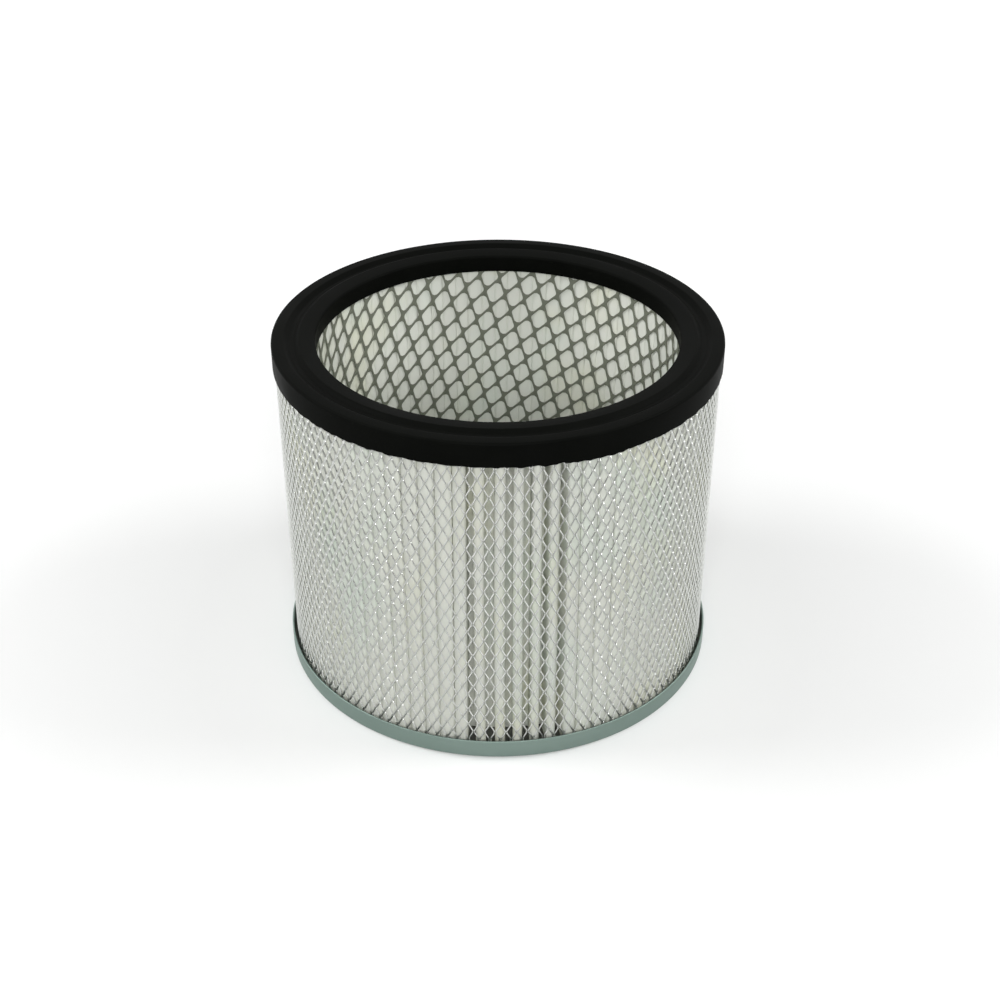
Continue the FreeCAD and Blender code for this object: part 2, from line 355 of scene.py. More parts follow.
@dataclass(frozen=True)
class FilterPaper(Finish):
    """Matte filter paper: cream, with fibres and faint yellowish and greenish patches."""

    greenish: Colour = (0.74, 0.82, 0.74)
    warm_share: float = 0.75
    cool_share: float = 0.6
    fleck_dulling: float = 0.08
    fleck_share: float = 0.5
    specular: float = 0.2

    def paint(self, shader: Shader) -> None:
        """Fill the node tree with fibres and two kinds of faint patches.

        Args:
            shader: The material's node tree.
        """
        warm = shader.spread(shader.noise(grain=24.0, detail=3.0), low=0.5, high=0.72)
        cool_noise = shader.noise(grain=31.0, detail=3.0, stretch=(1.0, 1.0, 0.7))
        cool = shader.spread(cool_noise, low=0.52, high=0.72)
        fibres = shader.noise(grain=0.7, detail=3.0, stretch=(1.0, 1.0, 0.35))
        flecks = shader.noise(grain=2.2, detail=4.0)
        warmed = shader.tint(warm * self.warm_share, self.colour, self.second)
        shader.surface(
            {
                "Base Color": shader.tint(cool * self.cool_share, warmed, self.greenish),
                "Roughness": self.roughness + flecks * self.fleck_dulling,
                "Specular IOR Level": self.specular,
                "Normal": shader.bump(fibres + flecks * self.fleck_share, depth=0.12, strength=0.5),
            }
        )


@dataclass(frozen=True)
class ExpandedMetal(Finish):
    """Slit and stretched sheet: metal with a fine grain, slightly dulled patches and smoother cut edges."""

    cut_colour: Colour
    metallic: float = 1.0
    patch_dulling: float = 0.15
    grain_dulling: float = 0.08
    cut_gloss: float = 0.17

    def paint(self, shader: Shader) -> None:
        """Fill the node tree with dulled patches, a fine grain and burnished cut edges.

        Args:
            shader: The material's node tree.
        """
        dulled = shader.noise(grain=6.0, detail=4.0)
        grain = shader.noise(grain=0.3, detail=2.0)
        cut = shader.mark(CUT_MARK)
        rolled = shader.tint(dulled, self.colour, self.second)
        dulling = dulled * self.patch_dulling + grain * self.grain_dulling
        shader.surface(
            {
                "Base Color": shader.tint(cut, rolled, self.cut_colour),
                "Metallic": self.metallic,
                "Roughness": self.roughness + dulling - cut * self.cut_gloss,
                "Normal": shader.bump(grain, depth=0.03, strength=0.3),
            }
        )


class MeshDraft:
    """Points and four-sided faces, gathered before they become one mesh."""

    def __init__(self) -> None:
        """Start with nothing."""
        self.points: list[np.ndarray] = []
        self.faces: list[np.ndarray] = []
        self.cuts: list[np.ndarray] = []
        self.count = 0

    def add(self, points: np.ndarray, faces: np.ndarray, cut: Optional[np.ndarray] = None) -> None:
        """Add a group of points and the faces between them.

        Args:
            points: The points, in millimetres.
            faces: Four point numbers for each face.
            cut: For each face 1 where the sheet was cut and 0 elsewhere; left out if none was cut.
        """
        self.points.append(points.reshape(-1, 3))
        self.faces.append(faces + self.count)
        self.cuts.append(np.zeros(len(faces)) if cut is None else cut)
        self.count += len(self.points[-1])

    def mesh(self, name: str) -> bpy.types.Mesh:
        """Make the mesh in metres, with its points merged and its faces turned outwards.

        Args:
            name: The mesh's name.

        Returns:
            The mesh.
        """
        made = bpy.data.meshes.new(name)
        points = np.concatenate(self.points) * MM
        made.from_pydata(points.tolist(), [], np.concatenate(self.faces).tolist())
        cuts = np.concatenate(self.cuts)
        if cuts.any():
            mark = made.attributes.new(CUT_MARK, "FLOAT", "FACE")
            mark.data.foreach_set("value", cuts.astype(np.float32))
        work = bmesh.new()
        work.from_mesh(made)
        bmesh.ops.remove_doubles(work, verts=work.verts, dist=SAME_PLACE_METRES)
        bmesh.ops.dissolve_degenerate(work, edges=work.edges, dist=SAME_PLACE_METRES)
        bmesh.ops.recalc_face_normals(work, faces=work.faces)
        work.to_mesh(made)
        work.free()
        return made


def grid_faces(rows: int, columns: int, close_rows: bool, close_columns: bool) -> np.ndarray:
    """Number the faces of a grid of points.

    Args:
        rows: How many rows of points there are.
        columns: How many points each row has.
        close_rows: Whether the last row joins the first.
        close_columns: Whether the last point of a row joins its first.

    Returns:
        Four point numbers for each face.
    """
    row = np.arange(rows if close_rows else rows - 1)[:, None]
    column = np.arange(columns if close_columns else columns - 1)[None, :]
    next_row, next_column = (row + 1) % rows, (column + 1) % columns
    corners = [row * columns + column, next_row * columns + column]
    corners += [next_row * columns + next_column, row * columns + next_column]
    return np.stack(corners, axis=-1).reshape(-1, 4)


def around(angle: np.ndarray, radius: np.ndarray, height: np.ndarray) -> np.ndarray:
    """Place points round the upright axis.

    Args:
        angle: Angles in radians, from +X.
        radius: Distances from the axis.
        height: Heights.

    Returns:
        The points, with x, y and z last.
    """
    angle, radius, height = np.broadcast_arrays(angle, radius, height)
    return np.stack([radius * np.cos(angle), radius * np.sin(angle), height], axis=-1)


def rounded(corners: list[Corner], steps: int = 5) -> np.ndarray:
    """Round the corners of a closed outline.

    Args:
        corners: The outline's corners in order.
        steps: How many lines make up each rounding.

    Returns:
        Pairs of radius or arc and height.
    """
    made: list[np.ndarray] = []
    for index, corner in enumerate(corners):
        here = np.array(corner[:2])
        back = np.array(corners[index - 1][:2]) - here
        ahead = np.array(corners[(index + 1) % len(corners)][:2]) - here
        if corner.rounding == 0.0:
            made.append(here)
            continue
        back, ahead = back / np.linalg.norm(back), ahead / np.linalg.norm(ahead)
        half = math.acos(float(np.clip(back @ ahead, -1.0, 1.0))) / 2
        start = here + back * corner.rounding / math.tan(half)
        end = here + ahead * corner.rounding / math.tan(half)
        centre = here + (back + ahead) / np.linalg.norm(back + ahead) * corner.rounding / math.sin(half)
        for share in np.linspace(0.0, 1.0, steps + 1):
            arm = (start - centre) * (1 - share) + (end - centre) * share
            made.append(centre + arm / np.linalg.norm(arm) * corner.rounding)
    return np.array(made)


def ripple(angle: np.ndarray, seed: int, waves: tuple[int, int], count: int) -> np.ndarray:
    """Make an uneven wave that closes round the axis.

    Args:
        angle: Where it is wanted, in radians.
        seed: The seed of its random draws.
        waves: The fewest waves in one turn, and the number that they stay below.
        count: How many sine waves are added up.

    Returns:
        The wave, mostly between -1 and 1.
    """
    draw = np.random.default_rng(seed)
    turns = draw.integers(waves[0], waves[1], count)
    starts = draw.uniform(0.0, FULL_TURN, count)
    return sum(np.sin(turn * angle + start) for turn, start in zip(turns, starts)) / math.sqrt(count)


def put(name: str, data: bpy.types.ID, place: Triple = (0.0, 0.0, 0.0)) -> bpy.types.Object:
    """Add an object to the scene.

    Args:
        name: The object's name.
        data: Its mesh, light or camera.
        place: Where it stands, in metres.

    Returns:
        The object.
    """
    made = bpy.data.objects.new(name, data)
    made.location = place
    bpy.context.scene.collection.objects.link(made)
    return made


def point(made: bpy.types.Object, aim: Triple) -> None:
    """Turn a lamp or a camera towards a place, in metres."""
    made.rotation_euler = (Vector(aim) - made.location).to_track_quat("-Z", "Y").to_euler()


@dataclass
class Piece:
    """What every piece has: its name, the node it stands for, its slot and its finish."""

    name: str
    node: str
    slot: str
    finish: Finish

    def draft(self) -> MeshDraft:
        """Return the piece's points and faces; each piece has its own way."""
        raise NotImplementedError

    def finish_mesh(self, mesh: bpy.types.Mesh) -> None:
        """Give the mesh its last touches; most pieces need none."""

    def build(self, sharp: float = 40.0) -> bpy.types.Object:
        """Make the piece, dress it and tie it to the frame.

        Args:
            sharp: The angle in degrees above which an edge stays sharp.

        Returns:
            The finished object.
        """
        mesh = self.draft().mesh(self.name)
        self.finish_mesh(mesh)
        mesh.shade_smooth()
        mesh.set_sharp_from_angle(angle=math.radians(sharp))
        made = put(self.name, mesh)
        made.data.materials.append(self.finish.material())
        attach(made, BODY)
        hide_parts(self.node)
        LOG.info("%s: %d faces", self.name, len(made.data.polygons))
        return made


@dataclass
class UprightPiece(Piece):
    """A piece that stands on the bed and reaches up to the roof of the ring's channel."""

    bottom: float = BED_TOP
    top: float = RING_ROOF


@dataclass
class TurnedPiece(Piece):
    """A piece whose section is turned about the upright axis."""

    segments: int = 288

    def section(self) -> np.ndarray:
        """Return the section as pairs of radius and height."""
        raise NotImplementedError

    def shape(self, angle: np.ndarray, radius: np.ndarray, height: np.ndarray) -> Arrays:
        """Return radii and heights with any unevenness added; a plain piece has none."""
        return radius, height

    def draft(self) -> MeshDraft:
        """Turn the section about the axis.

        Returns:
            The points and faces.
        """
        section = self.section()
        angle = np.linspace(0.0, FULL_TURN, self.segments, endpoint=False)[:, None]
        radius = np.broadcast_to(section[None, :, 0], (self.segments, len(section)))
        height = np.broadcast_to(section[None, :, 1], (self.segments, len(section)))
        radius, height = self.shape(angle, radius.copy(), height.copy())
        made = MeshDraft()
        made.add(around(angle, radius, height), grid_faces(self.segments, len(section), True, True))
        return made


@dataclass
class SealRing(TurnedPiece):
    """The soft ring, grooved on top, cast round the upper ends of the pleats and the sleeves.

    The casting flash hangs from its outer foot between two angles, in degrees from the front.
    """

    segments: int = 432
    top: float = 129.0
    outer: float = 80.0
    bore: float = 64.5
    outer_foot: float = 120.2
    inner_foot: float = 122.0
    roof: float = RING_ROOF
    channel_outer: float = 79.3
    channel_inner: float = 65.2
    rim_inner: float = 75.5
    floor_outer: float = 73.7
    floor_inner: float = 72.1
    land_outer: float = 70.5
    groove_depth: float = 1.2
    land_drop: float = 0.7
    foot_rounding: float = 0.2
    rim_rounding: float = 0.9
    lip_rounding: float = 1.1
    floor_outer_rounding: float = 0.8
    floor_inner_rounding: float = 0.7
    land_rounding: float = 1.0
    bore_rounding: float = 0.9
    foot_reach: float = 1.0
    foot_unevenness: float = 0.22
    wall_slack: float = 0.25
    flash_from: float = 17.0
    flash_to: float = 33.0
    flash_fade: float = 3.0
    flash_level: float = 0.75
    flash_swing: float = 0.25
    flash_drop: float = 0.45
    flash_out: float = 0.3

    def section(self) -> np.ndarray:
        """Draw the ring's section with its roundings.

        Returns:
            Pairs of radius and height.
        """
        groove_floor = self.top - self.groove_depth
        corners = [
            Corner(self.outer, self.outer_foot, self.foot_rounding),
            Corner(self.outer, self.outer_foot + self.foot_reach),
            Corner(self.outer, self.top, self.rim_rounding),
            Corner(self.rim_inner, self.top, self.lip_rounding),
            Corner(self.floor_outer, groove_floor, self.floor_outer_rounding),
            Corner(self.floor_inner, groove_floor, self.floor_inner_rounding),
            Corner(self.land_outer, self.top, self.land_rounding),
            Corner(self.bore, self.top - self.land_drop, self.bore_rounding),
            Corner(self.bore, self.inner_foot, self.foot_rounding),
            Corner(self.channel_inner, self.inner_foot),
            Corner(self.channel_inner, self.roof),
            Corner(self.channel_outer, self.roof),
            Corner(self.channel_outer, self.outer_foot),
        ]
        return rounded(corners)

    def shape(self, angle: np.ndarray, radius: np.ndarray, height: np.ndarray) -> Arrays:
        """Give the outer foot its ragged edge and its bit of casting flash.

        Args:
            angle: The angle of each turned section.
            radius: The section's radii.
            height: The section's heights.

        Returns:
            The radii and heights with the foot made uneven.
        """
        low = np.clip((self.outer_foot + self.foot_reach - height) / self.foot_reach, 0.0, 1.0)
        foot = np.where(radius > self.channel_outer - self.foot_reach, low, 0.0)
        turn = np.degrees(angle - FRONT) % 360.0
        middle, half = (self.flash_from + self.flash_to) / 2, (self.flash_to - self.flash_from) / 2
        window = np.clip((half - np.abs(turn - middle)) / self.flash_fade, 0.0, 1.0)
        tear = ripple(angle, seed=5, waves=(60, 160), count=4)
        torn = window * (self.flash_level + self.flash_swing * tear)
        uneven = ripple(angle, seed=3, waves=(40, 150), count=7) * self.foot_unevenness
        outside = np.where(radius > self.outer - self.wall_slack, foot, 0.0)
        return radius + outside * torn * self.flash_out, height + foot * (uneven - torn * self.flash_drop)


@dataclass
class Pan(TurnedPiece):
    """The pressed pan: a closed floor with a rounded bend and an upturned rim.

    A ring of points at floor_ring_share of its radius divides the floor.
    """

    outside: float = 80.9
    sheet: float = 0.6
    rim: float = 7.5
    bend: float = 1.3
    edge_rounding: float = 0.22
    floor_ring_share: float = 0.5

    def section(self) -> np.ndarray:
        """Draw the pan's section with its bend and its softened edge.

        Returns:
            Pairs of radius and height.
        """
        inside = self.outside - self.sheet
        corners = [
            Corner(0.0, 0.0),
            Corner(self.outside * self.floor_ring_share, 0.0),
            Corner(self.outside, 0.0, self.bend),
            Corner(self.outside, self.rim, self.edge_rounding),
            Corner(inside, self.rim, self.edge_rounding),
            Corner(inside, self.sheet, self.bend - self.sheet),
            Corner(inside * self.floor_ring_share, self.sheet),
            Corner(0.0, self.sheet),
        ]
        return rounded(corners)


@dataclass
class PottingBed(TurnedPiece):
    """The adhesive poured into the pan, on which the pleats and the sleeves stand."""

    inside: float = 63.7
    outside: float = 80.1
    foot: float = 0.6
    top: float = BED_TOP
    edge_width: float = 2.0
    edge_rounding: float = 1.0
    edge_reach: float = 1.5
    edge_wander: float = 0.4
    edge_most: float = 1.4
    wave: float = 0.16
    wave_swing: float = 0.5
    wave_sink: float = 0.6

    def section(self) -> np.ndarray:
        """Draw the bed's section with its softened inner edge.

        Returns:
            Pairs of radius and height.
        """
        corners = [
            Corner(self.inside, self.foot),
            Corner(self.outside, self.foot),
            Corner(self.outside, self.top),
            Corner(self.inside + self.edge_width, self.top),
            Corner(self.inside, self.top, self.edge_rounding),
        ]
        return rounded(corners)

    def shape(self, angle: np.ndarray, radius: np.ndarray, height: np.ndarray) -> Arrays:
        """Let the poured surface sink a little here and there, and its inner edge wander.

        Args:
            angle: The angle of each turned section.
            radius: The section's radii.
            height: The section's heights.

        Returns:
            The uneven radii and heights.
        """
        share = (height - self.foot) / (self.top - self.foot)
        swell = ripple(angle, seed=21, waves=(3, 25), count=5)
        sunk = (swell * self.wave_swing - self.wave_sink) * self.wave
        wander = self.edge_wander + self.edge_wander * ripple(angle, seed=22, waves=(3, 18), count=5)
        edge = np.where(radius < self.inside + self.edge_reach, wander, 0.0)
        return radius + np.clip(edge, 0.0, self.edge_most), height + share * sunk


@dataclass
class PleatPack(UprightPiece):
    """The filter paper, folded into upright pleats and closed into a ring.

    At the front the pleats are spread: their outer folds take up front_share of the room between them, and
    side_share elsewhere. The spread front's middle, half and fade are in degrees from the front.
    front_spacings are the arcs between the outer folds round there, from the arc front_start on.
    """

    pleats: int = 78
    tip: float = 78.1
    valley: float = 66.05
    paper: float = 0.5
    tip_rise: float = 1.3
    valley_rise: float = 0.3
    valley_gap: float = 0.02
    front_share: float = 0.47
    side_share: float = 0.88
    front_middle: float = 4.25
    front_half: float = 12.75
    front_fade: float = 2.0
    unevenness: float = 0.13
    wander: float = 0.22
    wander_speeds: tuple[float, float] = (1.5, 5.0)
    dent: float = 0.22
    dent_speed: float = 1.7
    dent_phase: int = 3
    levels: int = 15
    bend_steps: int = 8
    seed: int = 7
    front_spacings: tuple[float, ...] = (6.0, 6.0, 5.5, 6.0, 6.0, 7.2, 6.2, 6.1, 6.0, 6.2, 6.4, 6.4)
    front_start: float = -35.9

    def tip_angles(self) -> np.ndarray:
        """Place the pleats' outer folds, uneven as in a hand-spread pack.

        Returns:
            The angle of each outer fold.
        """
        draw = np.random.default_rng(self.seed)
        front = self.front_start + np.concatenate([[0.0], np.cumsum(self.front_spacings)])
        gaps_left = self.pleats - len(front) + 1
        gaps = 1.0 + draw.uniform(-self.unevenness, self.unevenness, gaps_left)
        round_ring = FULL_TURN * self.tip
        gaps *= (round_ring - (front[-1] - front[0])) / gaps.sum()
        rest = front[-1] + np.cumsum(gaps)[:-1]
        return FRONT + np.concatenate([front, rest]) / self.tip

    def middle_line(self, height: float) -> Arrays:
        """Follow the middle of the paper round the ring at one height.

        Args:
            height: The height as a share of the pack.

        Returns:
            The angles and radii of the line's points.
        """
        draw = np.random.default_rng(self.seed + 1)
        phase = draw.uniform(0.0, FULL_TURN, self.pleats)
        speed = draw.uniform(*self.wander_speeds, self.pleats)
        tips = self.tip_angles() + self.wander / self.tip * np.sin(phase + speed * height)
        dents = self.dent * (1 + np.sin(phase * self.dent_phase + speed * self.dent_speed * height))
        reach = self.tip - self.paper / 2 - dents
        following = np.concatenate([tips[1:], tips[:1] + FULL_TURN])
        gaps = following - tips
        tip_bend = gaps / 2 * self.tip * self.fold_shares(tips + gaps / 2)
        floor = np.full(self.pleats, self.valley + self.paper / 2)
        valley_bend = gaps / 2 * (floor + self.valley_rise) - (self.paper + self.valley_gap) / 2
        tip_angle, tip_radius = self.fold(tips, reach, (np.roll(tip_bend, 1), tip_bend), self.tip_rise)
        valley_bends = (valley_bend, valley_bend)
        valley_angle, valley_radius = self.fold(tips + gaps / 2, floor, valley_bends, -self.valley_rise)
        angle = np.concatenate([tip_angle, valley_angle], axis=1)
        radius = np.concatenate([tip_radius, valley_radius], axis=1)
        return angle.ravel(), radius.ravel()

    def fold_shares(self, places: np.ndarray) -> np.ndarray:
        """Say how much of the room between two pleats their outer folds take up: less at the spread front.

        Args:
            places: The angles midway between neighbours.

        Returns:
            The shares, one for each place.
        """
        turn = (np.degrees(places - FRONT) - self.front_middle + 180.0) % 360.0 - 180.0
        eased = np.clip((np.abs(turn) - self.front_half) / self.front_fade, 0.0, 1.0)
        return self.front_share + (self.side_share - self.front_share) * eased

    def fold(self, angle: np.ndarray, crest: np.ndarray, half_widths: Arrays, rise: float) -> Arrays:
        """Round one fold of every pleat.

        Args:
            angle: The fold's angle on each pleat.
            crest: The radius that the fold reaches.
            half_widths: Its width before and after that angle.
            rise: How high it bulges; below zero for a fold that faces inwards.

        Returns:
            The angles and radii of the points, one row for each pleat.
        """
        swing = np.linspace(math.pi, 0.0, self.bend_steps + 1)
        foot = crest[:, None] - rise
        before, after = half_widths
        half_width = np.where(np.cos(swing) < 0.0, before[:, None], after[:, None])
        return angle[:, None] + half_width * np.cos(swing) / foot, foot + rise * np.sin(swing)

    def draft(self) -> MeshDraft:
        """Give the paper's middle line its thickness, level by level.

        Returns:
            The points and faces of the outer and the inner side.
        """
        outer: list[np.ndarray] = []
        inner: list[np.ndarray] = []
        for share in np.linspace(0.0, 1.0, self.levels):
            height = self.bottom + share * (self.top - self.bottom)
            line = around(*self.middle_line(float(share)), np.array(height))
            along = np.roll(line, -1, axis=0) - np.roll(line, 1, axis=0)
            outward = np.stack([along[:, 1], -along[:, 0], np.zeros(len(along))], axis=-1)
            outward /= np.linalg.norm(outward, axis=1, keepdims=True)
            outer.append(line + outward * self.paper / 2)
            inner.append(line - outward * self.paper / 2)
        rows = np.stack(outer + inner[::-1], axis=1)
        made = MeshDraft()
        made.add(rows, grid_faces(rows.shape[0], rows.shape[1], True, True))
        return made


@dataclass
class ExpandedSleeve(UprightPiece):
    """A sleeve of expanded metal: zigzag strands that touch their neighbours at the knots.

    The tilt is in degrees, and knot_share is the part of a period that a knot takes up.
    """

    radius: float = 78.85
    columns: int = 130
    period: float = 6.77
    strand: float = 0.58
    knot_share: float = 0.13
    thickness: float = 0.3
    tilt: float = 50.0

    def wave(self) -> list[tuple[float, float, Lean]]:
        """List one period of a strand.

        Returns:
            How far along the period, how far sideways and with which lean each point lies.
        """
        half = self.knot_share / 2
        leaning_left = [(half, 1.0, Lean.LEFT), (0.5 - half, -1.0, Lean.LEFT)]
        leaning_right = [(0.5 + half, -1.0, Lean.RIGHT), (1.0 - half, 1.0, Lean.RIGHT)]
        return leaning_left + leaning_right

    def strand_line(self, index: int) -> np.ndarray:
        """Follow one strand from the pack's bottom to its top.

        Args:
            index: The strand's number round the sleeve.

        Returns:
            Arc, height and sign of the tilt for each point.
        """
        spacing = FULL_TURN * self.radius / (2 * self.columns)
        tilt = math.radians(self.tilt)
        reach = (spacing - self.strand * math.cos(tilt) - self.thickness * math.sin(tilt)) / 2
        side = 1.0 if index % 2 == 0 else -1.0
        periods = range(math.floor(self.bottom / self.period) - 1, math.ceil(self.top / self.period) + 1)
        rows = [
            (spacing * index + reach * across * side, self.period * (count + along), lean.value * side)
            for count in periods
            for along, across, lean in self.wave()
        ]
        return self.clipped(np.array(rows))

    def clipped(self, line: np.ndarray) -> np.ndarray:
        """Cut a strand off level at the pack's bottom and top.

        Args:
            line: The strand's points, which reach past both ends.

        Returns:
            The points in between, with one more on each cut.
        """
        inside = np.flatnonzero((line[:, 1] > self.bottom) & (line[:, 1] < self.top))
        first, last = inside[0], inside[-1]
        ends = []
        for outer, inner, level in ((first - 1, first, self.bottom), (last + 1, last, self.top)):
            share = (level - line[inner, 1]) / (line[outer, 1] - line[inner, 1])
            ends.append(line[inner] + (line[outer] - line[inner]) * share)
        return np.concatenate([ends[:1], line[first : last + 1], ends[1:]])

    def draft(self) -> MeshDraft:
        """Give every strand its four-cornered section, tilted as it climbs.

        Returns:
            The points and faces, with the strands' narrow sides marked as cut.
        """
        made = MeshDraft()
        sides = len(FOUR_CORNERS)
        for index in range(2 * self.columns):
            line = self.strand_line(index)
            along = np.gradient(line[:, :2], axis=0)
            along /= np.linalg.norm(along, axis=1, keepdims=True)
            across = np.stack([along[:, 1], -along[:, 0]], axis=-1)
            tilt = np.radians(self.tilt) * line[:, 2]
            corners = []
            for wide, deep in FOUR_CORNERS:
                flat = wide * self.strand / 2 * np.cos(tilt) - deep * self.thickness / 2 * np.sin(tilt)
                proud = wide * self.strand / 2 * np.sin(tilt) + deep * self.thickness / 2 * np.cos(tilt)
                place = line[:, :2] + across * flat[:, None]
                height = np.clip(place[:, 1], self.bottom, self.top)
                corners.append(around(FRONT + place[:, 0] / self.radius, self.radius + proud, height))
            count = len(line)
            ends = np.array([range(sides), range(sides * (count - 1), sides * count)])
            faces = np.concatenate([grid_faces(count, sides, False, True), ends])
            cut = np.concatenate([np.tile([0.0, 1.0, 0.0, 1.0], count - 1), [0.0, 0.0]])
            made.add(np.stack(corners, axis=1), faces, cut)
        return made


@dataclass
class PiercedSleeve(UprightPiece):
    """A spiral-wound sleeve of heavier expanded metal: one sheet with rounded, leaning openings.

    The next cell up stands a period higher and a lean to the side, and after one turn round the sleeve the
    cells meet spiral_steps cells higher. edge_shares place the points along each side of a cell.
    """

    inside: float = 65.45
    outside: float = 65.9
    ridge: float = 0.1
    columns: int = 50
    spiral_steps: int = 7
    lean: float = -3.5
    period: float = 12.4
    strand: float = 0.74
    rounding: float = 1.6
    edge_shares: tuple[float, ...] = (0.1, 0.27, 0.73, 0.9)
    seam_slack: float = 0.01

    def directions(self) -> Arrays:
        """Work out the sides of a cell, so that the cells close after one turn.

        Returns:
            The steps along a falling and along a rising strand.
        """
        turn = FULL_TURN * self.inside
        wound = np.array([turn + self.spiral_steps * self.lean, self.spiral_steps * self.period])
        step = wound / self.columns
        up = np.array([self.lean, self.period])
        return (step - up) / 2, (step + up) / 2

    def cell(self) -> Arrays:
        """Draw one cell about its middle.

        Returns:
            Points along the middle lines of the strands round it, and the matching points of its opening.
        """
        falling, rising = self.directions()
        knots = np.array([-falling - rising, falling - rising, falling + rising, rising - falling]) / 2
        border = []
        for knot, following in zip(knots, np.roll(knots, -1, axis=0)):
            border.append(knot)
            border.extend(knot + (following - knot) * share for share in self.edge_shares)
        area = abs(falling[0] * rising[1] - falling[1] * rising[0])
        along = [1 - self.strand * np.linalg.norm(other) / area for other in (rising, falling)]
        inner = [(fall * falling * along[0] + rise * rising * along[1]) / 2 for fall, rise in FOUR_CORNERS]
        steps = len(self.edge_shares)
        opening = rounded([Corner(*place, self.rounding) for place in inner], steps)
        return np.array(border), np.roll(opening, -(steps // 2), axis=0)

    def middles(self) -> np.ndarray:
        """Find every cell that lies at least partly between the pack's bottom and top.

        Returns:
            The middles of the cells.
        """
        falling, rising = self.directions()
        turn, reach = FULL_TURN * self.inside, 2 * self.columns
        counts = np.arange(-reach, reach + 1)
        across, up = np.meshgrid(counts, counts)
        places = across[..., None] * falling + up[..., None] * rising
        places = places.reshape(-1, 2)
        slack = falling[0] * self.seam_slack
        kept = (places[:, 0] > -slack) & (places[:, 0] < turn - slack)
        kept &= (places[:, 1] > self.bottom - self.period) & (places[:, 1] < self.top + self.period)
        return places[kept]

    def draft(self) -> MeshDraft:
        """Lay the sheet cell by cell.

        Returns:
            The points and faces, with the walls of the openings marked as cut.
        """
        border, opening = self.cell()
        lines = (
            (border, self.outside),
            (opening, self.outside),
            (opening, self.inside + self.ridge),
            (border, self.inside),
        )
        faces = grid_faces(len(lines), len(border), False, True)
        cut = np.repeat([0.0, 1.0, 0.0], len(border))
        made = MeshDraft()
        for middle in self.middles():
            rings = []
            for line, radius in lines:
                place = middle + line
                rings.append(around(FRONT + place[:, 0] / self.inside, np.array(radius), place[:, 1]))
            made.add(np.stack(rings), faces, cut)
        return made

    def finish_mesh(self, mesh: bpy.types.Mesh) -> None:
        """Cut the sheet off level at the pack's bottom and top, and close the cut strands.

        Args:
            mesh: The sheet's mesh, which is changed.
        """
        work = bmesh.new()
        work.from_mesh(mesh)
        for level, side in ((self.bottom, -1.0), (self.top, 1.0)):
            everything = work.verts[:] + work.edges[:] + work.faces[:]
            plane = {"plane_co": (0.0, 0.0, level * MM), "plane_no": (0.0, 0.0, side)}
            bmesh.ops.bisect_plane(work, geom=everything, clear_outer=True, **plane)
        bmesh.ops.holes_fill(work, edges=[edge for edge in work.edges if edge.is_boundary])
        bmesh.ops.recalc_face_normals(work, faces=work.faces)
        work.to_mesh(mesh)
        work.free()


@dataclass(frozen=True)
class Lamp:
    """A soft lamp: where it stands, how wide it is and how bright, in metres and watts."""

    name: str
    place: Triple
    width: float
    power: float
    aim: Triple = (0.0, 0.0, 0.06)

    def build(self) -> None:
        """Add the lamp to the scene."""
        light = bpy.data.lights.new(self.name, "AREA")
        light.shape, light.size, light.energy = "DISK", self.width, self.power
        point(put(self.name, light, self.place), self.aim)


